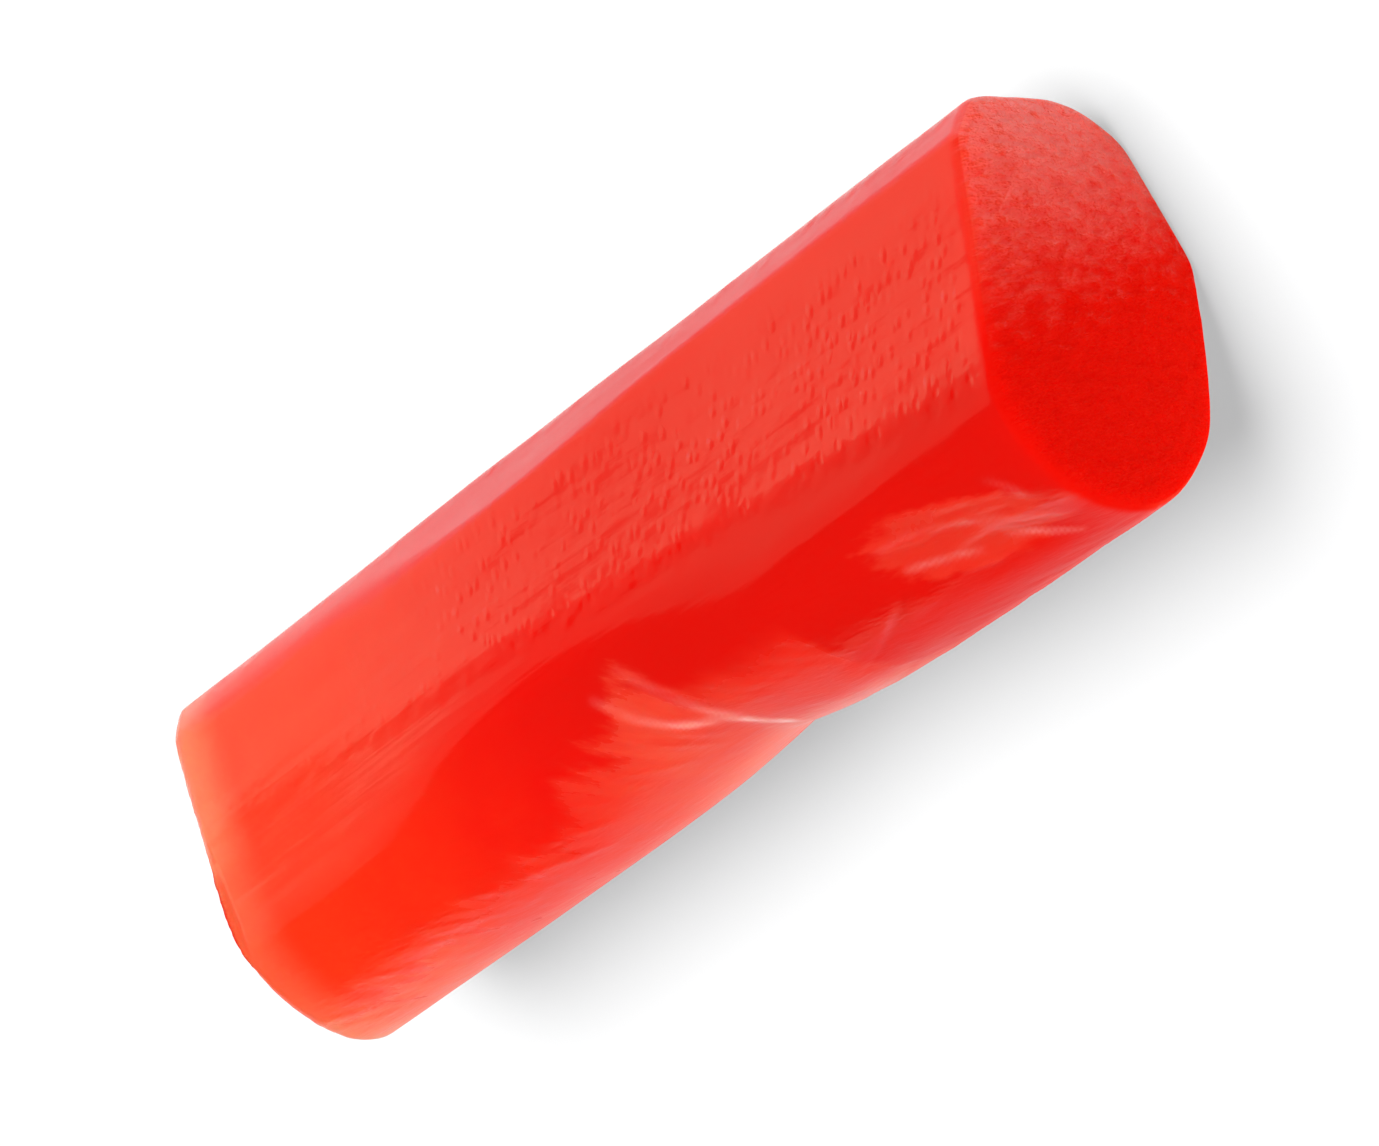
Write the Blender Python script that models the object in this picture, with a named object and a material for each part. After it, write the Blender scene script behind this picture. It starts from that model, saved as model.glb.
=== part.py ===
"""A licorice bite: one short length cut from a soft red rope.

The bite lies along X on its flattened underside, its slanted cut end toward +X. Rollers pressed the rope
on several sides while it was warm, so its section is a soft polygon, a little wider toward +X. The blade
left a slight dome on each end, and a pinch runs up the -Y side near the middle.
"""
import math

import bmesh
import bpy
from mathutils import Vector

NODE_NAME = "licorice_bite"

# Driving dimensions in metres, unless the name says otherwise.
LENGTH = 0.0409             # between the middles of the two cuts
SIZE_AT_LEFT = 0.95         # section size at the -X end, against the listed distances
SIZE_AT_RIGHT = 1.045       # section size at the +X end
MIDDLE_HEIGHT = 0.00725     # of the rope's middle over the base, where the section size is 1
CORNER_HARDNESS = 14.0      # power that rounds the corners between pressed sides: higher is sharper

# Each pressed side: its direction in degrees from +Y up through +Z, and its distance from the middle.
PRESSED_SIDES = (
    (24.0, 0.0063),         # narrow band along +Y
    (54.0, 0.00445),        # broad upper side
    (96.0, 0.00665),        # crown
    (124.0, 0.00755),       # shoulder over -Y
    (160.0, 0.0078),        # -Y side
    (195.0, 0.00755),
    (232.0, 0.0069),
    (265.0, 0.0082),        # underside, which the base cuts flat
    (300.0, 0.0075),
    (338.0, 0.00735),       # +Y side, below the band
)

# The crown's line bows toward +Y left of the middle, because broad side and crown were pressed unevenly.
BOW_CENTRE = -0.0035
BOW_HALF_LENGTH = 0.012
BOW_OF_SIDE = {54.0: 0.00055, 96.0: -0.00075}

# Each cut: how far it runs along X for each metre along Y and along Z, and how far it domes out.
RIGHT_CUT = {"along_y": 0.11, "along_z": -0.14, "dome": 0.0011}
LEFT_CUT = {"along_y": 0.015, "along_z": 0.078, "dome": 0.0009}
RIM_RADIUS = 0.00035        # rounding where a cut meets the skin

# The pinch: a shallow valley that leans across the -Y shoulder, toward -X where it climbs to the crown.
PINCH_X = 0.0020            # where it is deepest
PINCH_DIRECTION = 176.0     # degrees, where it is deepest
PINCH_LEAN = 0.00002        # metres along the rope for each degree around it
PINCH_REACH = 66.0          # degrees to each side
PINCH_WIDTH_LEFT = 0.0045   # its slope toward -X is the longer one
PINCH_WIDTH_RIGHT = 0.0030
PINCH_DEPTH = 0.0008

POINTS_AROUND = 60
STEPS_ALONG = 46
STEPS_ON_RIM = 4
RINGS_ON_CUT = 6

SKIN_COLOUR = (0.80, 0.014, 0.006, 1.0)
SKIN_ROUGHNESS = 0.28


def clear_scene():
    """Remove every object that the scene starts with."""
    for item in list(bpy.data.objects):
        bpy.data.objects.remove(item, do_unlink=True)


def rise_and_fall(offset, half_length):
    """Return 1 at the centre, falling smoothly to 0 at half_length."""
    share = min(1.0, abs(offset) / half_length)
    return 0.5 + 0.5 * math.cos(math.pi * share)


def section_size(x):
    """Return the section's scale at a place along the rope."""
    share = min(1.0, max(0.0, x / LENGTH + 0.5))
    return SIZE_AT_LEFT + (SIZE_AT_RIGHT - SIZE_AT_LEFT) * share


def pinch_depth(direction, x):
    """Return how deep the pinch is at a direction in degrees and a place along the rope."""
    turn = direction - PINCH_DIRECTION
    around = rise_and_fall(turn, PINCH_REACH)
    offset = x - PINCH_X - PINCH_LEAN * turn
    width = PINCH_WIDTH_LEFT if offset < 0.0 else PINCH_WIDTH_RIGHT
    along = math.exp(-(abs(offset) / width) ** 1.2)
    return PINCH_DEPTH * around * along


def skin_radius(direction, x):
    """Return the distance from the rope's middle to its skin, before the base cuts it flat."""
    bow = rise_and_fall(x - BOW_CENTRE, BOW_HALF_LENGTH)
    total = 0.0
    for side, distance in PRESSED_SIDES:
        distance += BOW_OF_SIDE.get(side, 0.0) * bow
        facing = math.cos(math.radians(direction - side))
        if facing > 0.0:
            total += (facing / distance) ** CORNER_HARDNESS
    radius = section_size(x) * total ** (-1.0 / CORNER_HARDNESS)
    return radius - pinch_depth(direction, x)


def skin_point(direction, x):
    """Return a skin point as its offset from the rope's middle, in Y and Z."""
    radius = skin_radius(direction, x)
    angle = math.radians(direction)
    base = -MIDDLE_HEIGHT * section_size(x)
    return radius * math.cos(angle), max(base, radius * math.sin(angle))


def cut_plane(cut, end, y, z):
    """Return where a cut's plane crosses the line at offset y, z. The end is -1 on the left, 1 on the right."""
    return end * LENGTH / 2 + cut["along_y"] * y + cut["along_z"] * z


def ring_on_skin(mesh, share):
    """Add one ring of skin points, a share of the way from the left rim to the right rim."""
    ring = []
    for step in range(POINTS_AROUND):
        direction = 360.0 * step / POINTS_AROUND
        x = (share - 0.5) * LENGTH
        for _ in range(2):
            y, z = skin_point(direction, x)
            left = cut_plane(LEFT_CUT, -1, y, z) + RIM_RADIUS
            right = cut_plane(RIGHT_CUT, 1, y, z) - RIM_RADIUS
            x = left + (right - left) * share
        middle = MIDDLE_HEIGHT * section_size(x)
        ring.append(mesh.verts.new((x, y, z + middle)))
    return ring


def rings_on_cut(mesh, rim, cut, end):
    """Add the rings from a rim over its rounding to the cut's middle, and return them with the middle point."""
    centre = Vector((end * LENGTH / 2, 0.0, MIDDLE_HEIGHT * section_size(end * LENGTH / 2)))
    spokes = [vert.co - centre for vert in rim]
    rings = []
    for step in range(1, STEPS_ON_RIM + RINGS_ON_CUT):
        ring = []
        for spoke in spokes:
            y, z = spoke.y, spoke.z
            radius = math.hypot(y, z)
            if step <= STEPS_ON_RIM:
                turn = math.pi / 2 * step / STEPS_ON_RIM
                inward = 1.0 - RIM_RADIUS * (1.0 - math.cos(turn)) / radius
                setback = RIM_RADIUS * (1.0 - math.sin(turn))
            else:
                flat_share = 1.0 - (step - STEPS_ON_RIM) / RINGS_ON_CUT
                inward = flat_share * (1.0 - RIM_RADIUS / radius)
                setback = 0.0
            dome = cut["dome"] * (1.0 - inward ** 2)
            x = cut_plane(cut, end, y * inward, z * inward) + end * (dome - setback)
            ring.append(mesh.verts.new((x, y * inward, centre.z + z * inward)))
        rings.append(ring)
    tip = mesh.verts.new((end * (LENGTH / 2 + cut["dome"]), 0.0, centre.z))
    return rings, tip


def bridge(mesh, first, second):
    """Fill the band between two rings with four-sided faces."""
    count = len(first)
    for step in range(count):
        after = (step + 1) % count
        mesh.faces.new((first[step], first[after], second[after], second[step]))


def close_cut(mesh, rim, cut, end):
    """Close one end of the rope with its rounded rim and domed cut."""
    rings, tip = rings_on_cut(mesh, rim, cut, end)
    previous = rim
    for ring in rings:
        bridge(mesh, previous, ring)
        previous = ring
    count = len(previous)
    for step in range(count):
        mesh.faces.new((previous[step], previous[(step + 1) % count], tip))


def centre_on_origin(mesh):
    """Move the body so that its box is centred over the origin and its base lies on Z = 0."""
    for axis in (0, 1):
        places = [vert.co[axis] for vert in mesh.verts]
        middle = (min(places) + max(places)) / 2
        for vert in mesh.verts:
            vert.co[axis] -= middle
    for vert in mesh.verts:
        if abs(vert.co.z) < 1e-7:
            vert.co.z = 0.0


def licorice_material():
    """Return the glossy red of fruit licorice."""
    material = bpy.data.materials.new("licorice_red")
    material.use_nodes = True
    shader = material.node_tree.nodes["Principled BSDF"]
    shader.inputs["Base Color"].default_value = SKIN_COLOUR
    shader.inputs["Roughness"].default_value = SKIN_ROUGHNESS
    shader.inputs["Metallic"].default_value = 0.0
    return material


def build_bite():
    """Model the whole bite as one closed body."""
    body = bmesh.new()
    rings = [ring_on_skin(body, step / STEPS_ALONG) for step in range(STEPS_ALONG + 1)]
    for first, second in zip(rings, rings[1:]):
        bridge(body, first, second)
    close_cut(body, rings[0], LEFT_CUT, -1)
    close_cut(body, rings[-1], RIGHT_CUT, 1)
    bmesh.ops.recalc_face_normals(body, faces=body.faces)
    centre_on_origin(body)
    for face in body.faces:
        face.smooth = True
    mesh = bpy.data.meshes.new(NODE_NAME)
    body.to_mesh(mesh)
    body.free()
    mesh.materials.append(licorice_material())
    bite = bpy.data.objects.new(NODE_NAME, mesh)
    bpy.context.scene.collection.objects.link(bite)
    return bite


clear_scene()
build_bite()
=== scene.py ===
# %% [markdown]
# # One bite of red licorice
# A licorice bite is a short length cut from a soft, glossy rope. It looks simple, and almost all of its
# character is in small things: which sides the rollers pressed, how the knife dragged on the cut, and how
# a wet-looking skin mirrors a pale room. This lesson builds those things in order: the frame, the rope's
# shape, its fine relief, its finishes, and the light that shows them.

# %% Load the packed model
import math

import bpy
from mathutils import Matrix, Vector


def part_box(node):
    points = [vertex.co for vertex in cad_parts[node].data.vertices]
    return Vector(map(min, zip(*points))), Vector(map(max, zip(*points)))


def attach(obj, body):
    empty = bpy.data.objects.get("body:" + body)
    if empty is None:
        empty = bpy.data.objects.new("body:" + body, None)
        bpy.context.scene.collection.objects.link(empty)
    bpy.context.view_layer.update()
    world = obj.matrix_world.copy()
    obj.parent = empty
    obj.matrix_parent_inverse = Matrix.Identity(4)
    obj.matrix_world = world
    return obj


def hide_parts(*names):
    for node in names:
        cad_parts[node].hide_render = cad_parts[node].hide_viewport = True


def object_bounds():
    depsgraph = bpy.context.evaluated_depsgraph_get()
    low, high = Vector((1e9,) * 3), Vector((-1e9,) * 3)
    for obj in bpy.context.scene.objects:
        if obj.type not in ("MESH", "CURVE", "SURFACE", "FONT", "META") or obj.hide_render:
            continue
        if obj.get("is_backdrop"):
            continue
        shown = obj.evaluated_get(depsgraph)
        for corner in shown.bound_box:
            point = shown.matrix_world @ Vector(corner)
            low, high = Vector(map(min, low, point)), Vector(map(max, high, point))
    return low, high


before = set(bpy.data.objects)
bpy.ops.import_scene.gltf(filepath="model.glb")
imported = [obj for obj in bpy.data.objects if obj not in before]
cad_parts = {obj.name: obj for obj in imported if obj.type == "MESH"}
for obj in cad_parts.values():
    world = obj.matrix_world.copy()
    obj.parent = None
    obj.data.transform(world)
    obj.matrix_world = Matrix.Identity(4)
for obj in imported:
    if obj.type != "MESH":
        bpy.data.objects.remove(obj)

NODE = "licorice_bite"
METRES_PER_MM = 0.001

cad_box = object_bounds()
node_low, node_high = (Vector(corner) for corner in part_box(NODE))
print("solid measures", [round(side / METRES_PER_MM, 2) for side in node_high - node_low], "mm")

# %% [markdown]
# ## Node maths that reads like maths
# Both the shape and the finishes are formulas. Dragging nodes for them is slow to read, so one small class
# wraps a socket and lets Python's own operators add the Math nodes. The reflected forms, such as __rsub__,
# let a plain number stand first, as in 1 - mask.

# %% A socket that does arithmetic
class Value:
    """One output socket. Arithmetic on it adds Math nodes to the same tree."""

    def __init__(self, graph, socket):
        self.graph = graph
        self.socket = socket

    def other(self, name):
        """Return another output of the same node."""
        return Value(self.graph, self.socket.node.outputs[name])

    def __add__(self, term):
        return self.graph.math("ADD", self, term)

    def __sub__(self, term):
        return self.graph.math("SUBTRACT", self, term)

    def __rsub__(self, term):
        return self.graph.math("SUBTRACT", term, self)

    def __mul__(self, term):
        return self.graph.math("MULTIPLY", self, term)

    def __truediv__(self, term):
        return self.graph.math("DIVIDE", self, term)

    def __rtruediv__(self, term):
        return self.graph.math("DIVIDE", term, self)

    def __pow__(self, term):
        return self.graph.math("POWER", self, term)

    def __neg__(self):
        return self.graph.math("MULTIPLY", self, -1.0)

    __radd__ = __add__
    __rmul__ = __mul__


print("arithmetic on sockets:", [name for name in vars(Value) if name.startswith("__r")])

# %% [markdown]
# Every other node comes from one method. It takes the node's type, then its settings, because a setting can
# change which sockets a node has, and last a value or a link for each socket. The few shapes of curve that
# masks need, a smooth step and a smooth hill, are short methods on top of it.

# %% A tree under construction
BUMP_RADIUS = 0.46      # in spacings, so that most neighbouring bumps stay apart


class Graph:
    """A geometry or shader tree, and the methods that add nodes to it."""

    def __init__(self, tree):
        self.tree = tree

    def node(self, kind, settings=None, inputs=None, output=0):
        """Add a node: settings first, then a value or a link for each named or numbered input."""
        made = self.tree.nodes.new(kind)
        for name, value in (settings or {}).items():
            setattr(made, name, value)
        for key, value in (inputs or {}).items():
            for item in value if isinstance(value, list) else [value]:
                if isinstance(item, Value):
                    self.tree.links.new(item.socket, made.inputs[key])
                else:
                    made.inputs[key].default_value = item
        return Value(self, made.outputs[output]) if len(made.outputs) else None

    def math(self, operation, *terms):
        """Add one Math node."""
        return self.node("ShaderNodeMath", {"operation": operation}, dict(enumerate(terms)))

    def larger(self, first, second):
        """Return the larger of two values."""
        return self.math("MAXIMUM", first, second)

    def smaller(self, first, second):
        """Return the smaller of two values."""
        return self.math("MINIMUM", first, second)

    def ramp(self, value, start, end, low=0.0, high=1.0):
        """Rise smoothly from low to high while value goes from start to end, and stay level outside."""
        return self.node(
            "ShaderNodeMapRange",
            {"interpolation_type": "SMOOTHSTEP"},
            {"Value": value, "From Min": start, "From Max": end, "To Min": low, "To Max": high},
        )

    def hill(self, value, centre, half_width):
        """Return 1 at the centre, falling smoothly to 0 at half_width to each side."""
        return self.ramp(self.math("ABSOLUTE", value - centre), half_width, 0.0)

    def vector(self, x, y, z=0.0):
        """Return three values as one vector."""
        return self.node("ShaderNodeCombineXYZ", None, {"X": x, "Y": y, "Z": z})

    def noise(self, place, size, detail=2.0, roughness=0.5, seed=0.0):
        """Return smooth noise from -1 to 1 whose lumps are about as wide as size, in the place's unit."""
        settings = {"noise_dimensions": "4D"}
        inputs = {"Vector": place, "W": seed, "Scale": 1.0 / size, "Detail": detail, "Roughness": roughness}
        return (self.node("ShaderNodeTexNoise", settings, inputs) - 0.5) * 2.0

    def bumps(self, place, size, share):
        """Return scattered round bumps from 0 to 1, size apart, on about a share of the places for one."""
        settings = {"voronoi_dimensions": "2D"}
        inputs = {"Vector": place, "Scale": 1.0 / size}
        reach = self.node("ShaderNodeTexVoronoi", settings, inputs, "Distance")
        chance = self.node("ShaderNodeSeparateColor", None, {"Color": reach.other("Color")})
        no_bump, full_bump = 0.8 - share, 1.4 - share
        return self.ramp(reach, BUMP_RADIUS, 0.0) * self.ramp(chance, no_bump, full_bump)


print("masks and textures:", [name for name in vars(Graph) if not name.startswith("_")])

# %% [markdown]
# ## The rope's section
# A fresh rope of licorice is round. Rollers and a cooling belt press it on several sides, and each press
# leaves a nearly flat side with soft corners between. Drawing that outline by hand would take many points.
# A formula needs one distance for each pressed side: the sum of a high power of each side's share rounds
# the corners by itself, and a higher power makes them crisper. The main sizes are the solid's own.

# %% The rope's driving sizes, in millimetres and degrees
LENGTH = 40.9
SIZE_AT_LEFT = 0.95
SIZE_AT_RIGHT = 1.045
MIDDLE_HEIGHT = 7.25
CORNER_HARDNESS = 14.0
PRESSED_SIDES = (
    (54.0, 4.45),       # broad upper side
    (96.0, 6.65),       # crown
    (124.0, 7.55),      # shoulder over -Y
    (136.0, 8.1),
    (160.0, 7.8),       # -Y side
    (195.0, 7.55),
    (232.0, 6.9),
    (265.0, 8.2),       # underside, which the base cuts flat
    (300.0, 7.5),
    (338.0, 7.15),      # +Y side, below the band
)
# Uneven presses: which side, where along the rope, how far the press reaches, and how much it adds.
PRESSES = (
    (54.0, -3.5, 12.0, 0.55),
    (96.0, -3.5, 12.0, -0.75),
    (136.0, 0.5, 9.5, -0.75),
    (124.0, -20.0, 9.0, -0.15),
    (300.0, 20.0, 12.0, 0.35),
    (338.0, 9.0, 24.0, 0.28),
)
BAND_SIDE = 24.0        # the narrow band along +Y, pressed last, so its edge is crisp
BAND_DISTANCE = 6.3
CRISP_EDGE = 0.08       # over which the band turns into its neighbours
SOFT_EDGE_AT_LEFT = 0.7
SOFT_EDGE_BELOW = 1.1
BASE_BLEND = 0.4        # over which the side turns into the flat base
RIM_RADIUS = 0.35
LEFT_CUT = {"along_y": 0.015, "along_z": 0.078, "dome": 0.9}
RIGHT_CUT = {"along_y": 0.11, "along_z": -0.14, "dome": 1.1}
print(len(PRESSED_SIDES), "pressed sides around a rope", LENGTH, "mm long")


# %% The section as a formula
LEAST_FACING = 0.2      # keeps the band's distance finite on the far side


def skin_radius(graph, toward_y, toward_z, along, hardness, size):
    """Return how far the pressed skin lies from the rope's middle in a direction."""
    total = None
    for side, distance in PRESSED_SIDES:
        turn = math.radians(side)
        facing = toward_y * math.cos(turn) + toward_z * math.sin(turn)
        for pressed, centre, reach, change in PRESSES:
            if pressed == side:
                distance = graph.hill(along, centre, reach) * change + distance
        term = graph.larger(facing / distance, 0.0) ** hardness
        total = term if total is None else total + term
    turn = math.radians(BAND_SIDE)
    facing = graph.larger(toward_y * math.cos(turn) + toward_z * math.sin(turn), LEAST_FACING)
    soft_at_left = graph.ramp(along, -2.0, -12.0, CRISP_EDGE, SOFT_EDGE_AT_LEFT)
    soft_below = graph.ramp(toward_z, 0.02, -0.25, CRISP_EDGE, SOFT_EDGE_BELOW)
    blend = graph.larger(soft_at_left, soft_below)
    return size * graph.math("SMOOTH_MIN", total ** (-1.0 / hardness), BAND_DISTANCE / facing, blend)


print("the band cuts in at", BAND_DISTANCE, "mm from the middle")

# %% [markdown]
# ## From a box to a rope
# A tube with a fan of triangles at each end has a pole there, and fine relief crumples at a pole. A box of
# small squares has none. Its four long sides wrap around the rope, and its two end faces become the cuts.
# Each point's place on the box says where it goes: how far along, in which direction from the middle, and
# how far out. The last few rows on both sides of each box edge are spent on the rounded rim of the cut.

# %% Read a box point as a place on the rope
RIM_SHARE_ALONG = 0.012
RIM_SHARE_OUT = 0.10


def read_box_point(graph):
    """Return, for each point of a box from -1 to 1, what the rope's formula needs."""
    position = graph.node("GeometryNodeInputPosition")
    along = graph.node("ShaderNodeSeparateXYZ", None, {"Vector": position})
    across, up = along.other("Y"), along.other("Z")
    out = graph.larger(graph.math("ABSOLUTE", across), graph.math("ABSOLUTE", up))
    nonzero = graph.larger(out, 1e-5)
    quarter = math.pi / 4
    slant_y = graph.math("TANGENT", across / nonzero * quarter)
    slant_z = graph.math("TANGENT", up / nonzero * quarter)
    length = graph.math("SQRT", slant_y * slant_y + slant_z * slant_z)
    rim_start = 1.0 - RIM_SHARE_ALONG
    rim_on_side = (graph.math("ABSOLUTE", along) - rim_start) / RIM_SHARE_ALONG
    rim_on_side = graph.node("ShaderNodeClamp", None, {"Value": rim_on_side})
    rim_on_cut = graph.node("ShaderNodeClamp", None, {"Value": (1.0 - out) / RIM_SHARE_OUT})
    return {
        "share": graph.node("ShaderNodeClamp", None, {"Value": along / rim_start * 0.5 + 0.5}),
        "toward_y": slant_y / length,
        "toward_z": slant_z / length,
        "end": graph.math("SIGN", along),
        "rim_turn": (rim_on_side + rim_on_cut) * quarter,
        "cut": rim_on_cut,
        "flat_share": graph.smaller(out / (1.0 - RIM_SHARE_OUT), 1.0),
    }


print("rim rows take", RIM_SHARE_ALONG, "of the box's length and", RIM_SHARE_OUT, "of its ends")


# %% Place every point on the rope
def place_on_rope(graph, sizes, point):
    """Return the point's place in millimetres, before any fine relief, and how far along the rope it is."""
    share = point["share"]
    along = (share - 0.5) * sizes["Length"]
    size = sizes["Size at left"] + (sizes["Size at right"] - sizes["Size at left"]) * share
    radius = skin_radius(
        graph, point["toward_y"], point["toward_z"], along, sizes["Corner hardness"], size
    )
    base = -(size * sizes["Middle height"])
    rim = sizes["Rim radius"]
    inset = rim * (1.0 - graph.math("COSINE", point["rim_turn"]))
    inward = (radius - inset) / radius * point["flat_share"]
    y = radius * point["toward_y"]
    z = graph.math("SMOOTH_MAX", radius * point["toward_z"], base, BASE_BLEND)

    reach = sizes["Length"] * 0.5 - rim
    left = y * LEFT_CUT["along_y"] + z * LEFT_CUT["along_z"] - reach
    right = y * RIGHT_CUT["along_y"] + z * RIGHT_CUT["along_z"] + reach
    on_right = graph.math("COMPARE", point["end"], 1.0, 0.5)
    slant_y = on_right * RIGHT_CUT["along_y"] + (1.0 - on_right) * LEFT_CUT["along_y"]
    slant_z = on_right * RIGHT_CUT["along_z"] + (1.0 - on_right) * LEFT_CUT["along_z"]
    dome = on_right * sizes["Dome of right cut"] + (1.0 - on_right) * sizes["Dome of left cut"]
    x = left + (right - left) * share
    x = x + (inward - 1.0) * (y * slant_y + z * slant_z)
    x = x + point["end"] * (rim * graph.math("SINE", point["rim_turn"]) + dome * (1.0 - inward * inward))
    return graph.vector(x, y * inward, z * inward - base), along


print("cuts lean", LEFT_CUT["along_z"], "and", RIGHT_CUT["along_z"], "mm along the rope for each mm up")

# %% [markdown]
# ## A chart of the skin
# Everything that happened to this skin happened at a place on it. So the relief is drawn on a chart: how far
# along the rope in millimetres, and how far around it in degrees, from +Y up over the top. On the chart a
# smear is only noise that is stretched and turned. Shape and finish both read the same chart, which the mesh
# keeps as attributes.

# %% Places on the chart
MM_PER_DEGREE = 0.126   # of skin around the rope, at its mean radius


def on_chart(graph, along, around, turn=0.0, stretch=1.0):
    """Return a chart place. Noise lumps there are stretched, in a direction turned from the rope's own."""
    cosine, sine = math.cos(math.radians(turn)), math.sin(math.radians(turn))
    up = around * MM_PER_DEGREE
    return graph.vector((along * cosine + up * sine) / stretch, up * cosine - along * sine)


print("the chart is", LENGTH, "by", round(360 * MM_PER_DEGREE, 1), "mm")

# %% [markdown]
# ## The pinch and the dents
# The rope was pinched while it was soft. A valley leans across the -Y side and ends in a kink in the outline.
# One power of the distance from its bottom gives both: a little over 1 leaves the bottom almost a crease.
# Near the right end something pressed a leaf-shaped dent, with a small one below it.

# %% Valleys in the -Y side
PINCH_X = 2.9
PINCH_DIRECTION = 176.0
PINCH_LEAN = 0.02               # mm along for each degree around
PINCH_REACH = 66.0
PINCH_WIDTHS = 4.5, 3.0         # toward the left end and toward the right end
PINCH_DEPTH = 0.76
PINCH_POWER = 1.2

# Centre along, centre around, half length, half width, turn of the length on the chart, depth.
DENTS = (
    (15.6, 131.5, 3.8, 1.4, 22.0, 0.36),
    (18.0, 143.0, 1.6, 0.7, 30.0, 0.18),
)


def pinch_depth(graph, along, around):
    """Return how deep the pinch is, in millimetres."""
    across = along - PINCH_X - (around - PINCH_DIRECTION) * PINCH_LEAN
    across = graph.larger(-across / PINCH_WIDTHS[0], across / PINCH_WIDTHS[1])
    valley = graph.math("EXPONENT", -(across ** PINCH_POWER))
    return valley * graph.hill(around, PINCH_DIRECTION, PINCH_REACH) * PINCH_DEPTH


def oval_reach(along, around, x, degrees, half_length, half_width, turn):
    """Return 0 at an oval's centre, growing to 1 at its edge and on beyond it."""
    cosine, sine = math.cos(math.radians(turn)), math.sin(math.radians(turn))
    right, up = along - x, (around - degrees) * MM_PER_DEGREE
    lengthwise = (right * cosine + up * sine) / half_length
    sideways = (up * cosine - right * sine) / half_width
    return lengthwise * lengthwise + sideways * sideways


def dent_depth(graph, along, around):
    """Return how deep all the dents are together, in millimetres."""
    total = 0.0
    for *oval, depth in DENTS:
        total = graph.math("EXPONENT", -oval_reach(along, around, *oval)) * depth + total
    return total


print("pinch", PINCH_DEPTH, "mm deep;", len(DENTS), "dents")

# %% [markdown]
# ## Ridges and creases
# The pinch gathered the skin into fine ridges that run toward its kink, and there are combed lines beside it
# and creases in the leaf. Sculpting them would fix them to one mesh. Drawn as short curves on the chart they
# stay editable: a Proximity node tells each point how near the nearest curve is. Each curve dips through the
# chart, so it is deepest in the middle of its run and fades out at both ends.

# %% Curves drawn on the chart: start, middle and end, each along and around
# The streaks raise the skin a little, and the colour paints glints along them.
PINCH_STREAKS = (
    ((0.0, 103.0), (1.9, 124.0), (2.9, 140.0)),
    ((-1.6, 107.0), (0.4, 130.0), (2.4, 136.0)),
    ((1.9, 132.0), (3.3, 142.0), (3.7, 166.0)),
)
LEAF_STREAKS = (
    ((17.0, 139.0), (17.9, 144.0), (19.0, 152.0)),
    ((18.3, 119.0), (18.9, 123.0), (19.2, 129.0)),
    ((15.0, 123.5), (16.6, 127.0), (17.8, 132.5)),
    ((12.6, 118.5), (14.2, 119.5), (15.6, 123.0)),
    ((13.0, 128.5), (14.4, 132.0), (15.8, 137.5)),
)
PINCH_RIDGES = (
    ((-1.1, 103.0), (0.2, 116.0), (1.2, 134.0)),
    ((-2.0, 111.0), (-0.2, 122.0), (1.6, 142.0)),
    ((-2.6, 116.0), (-0.6, 127.0), (1.2, 146.0)),
    ((-5.5, 118.0), (-3.6, 124.0), (-1.6, 130.0)),
    ((-4.0, 126.0), (-2.0, 134.0), (-0.2, 144.0)),
    ((-6.5, 125.0), (-5.4, 129.0), (-3.8, 136.0)),
    ((-7.6, 132.0), (-6.0, 136.0), (-4.4, 143.0)),
    ((-9.2, 138.0), (-7.4, 142.0), (-5.6, 149.0)),
)
COMBED_LINES = tuple(
    ((5.6 + 0.3 * step, 174.0 - 3.4 * step), (7.6 + 0.3 * step, 170.0 - 3.4 * step),
     (9.6 + 0.35 * step, 158.0 - 3.4 * step))
    for step in range(8)
)
LEAF_CREASES = (
    ((11.8, 115.0), (14.4, 119.0), (17.6, 131.0)),
    ((12.4, 123.0), (15.0, 127.0), (18.2, 137.0)),
    ((13.4, 132.0), (15.2, 135.0), (17.6, 146.0)),
    ((16.0, 113.0), (17.4, 118.0), (19.6, 122.0)),
)
# Half the width of each kind of line in millimetres, and its height or depth as a share of "Crease depth".
LINE_WIDTHS = {"ridges": 0.15, "combed": 0.17, "creases": 0.34, "streaks": 0.20, "leaf streaks": 0.13}
LINE_SHARES = {"ridges": 0.45, "combed": 0.6, "creases": 0.3, "streaks": 0.33}
LEAF_STREAK_STRENGTH = 0.4      # beside the pinch's streaks
STEPS_ON_CURVE = 12


def nearness(graph, along, around, lines, width):
    """Return 1 on the nearest line and 0 away from it. Lines fade toward their ends."""
    curves = []
    for line in lines:
        ends = {}
        for name, (x, degrees), lift in zip(("Start", "Middle", "End"), line, (width, -width, width)):
            ends[name] = (x, degrees * MM_PER_DEGREE, lift)
        ends["Resolution"] = STEPS_ON_CURVE
        curves.append(graph.node("GeometryNodeCurveQuadraticBezier", None, ends))
    joined = graph.node("GeometryNodeJoinGeometry", None, {"Geometry": curves})
    wires = graph.node("GeometryNodeCurveToMesh", None, {"Curve": joined})
    near = graph.node(
        "GeometryNodeProximity",
        {"target_element": "EDGES"},
        {"Geometry": wires, "Sample Position": on_chart(graph, along, around)},
        "Distance",
    )
    return graph.math("EXPONENT", -((near / width) ** 2.0))


drawn = PINCH_STREAKS + LEAF_STREAKS + PINCH_RIDGES + COMBED_LINES + LEAF_CREASES
print(len(drawn), "curves drawn on the chart")

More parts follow.
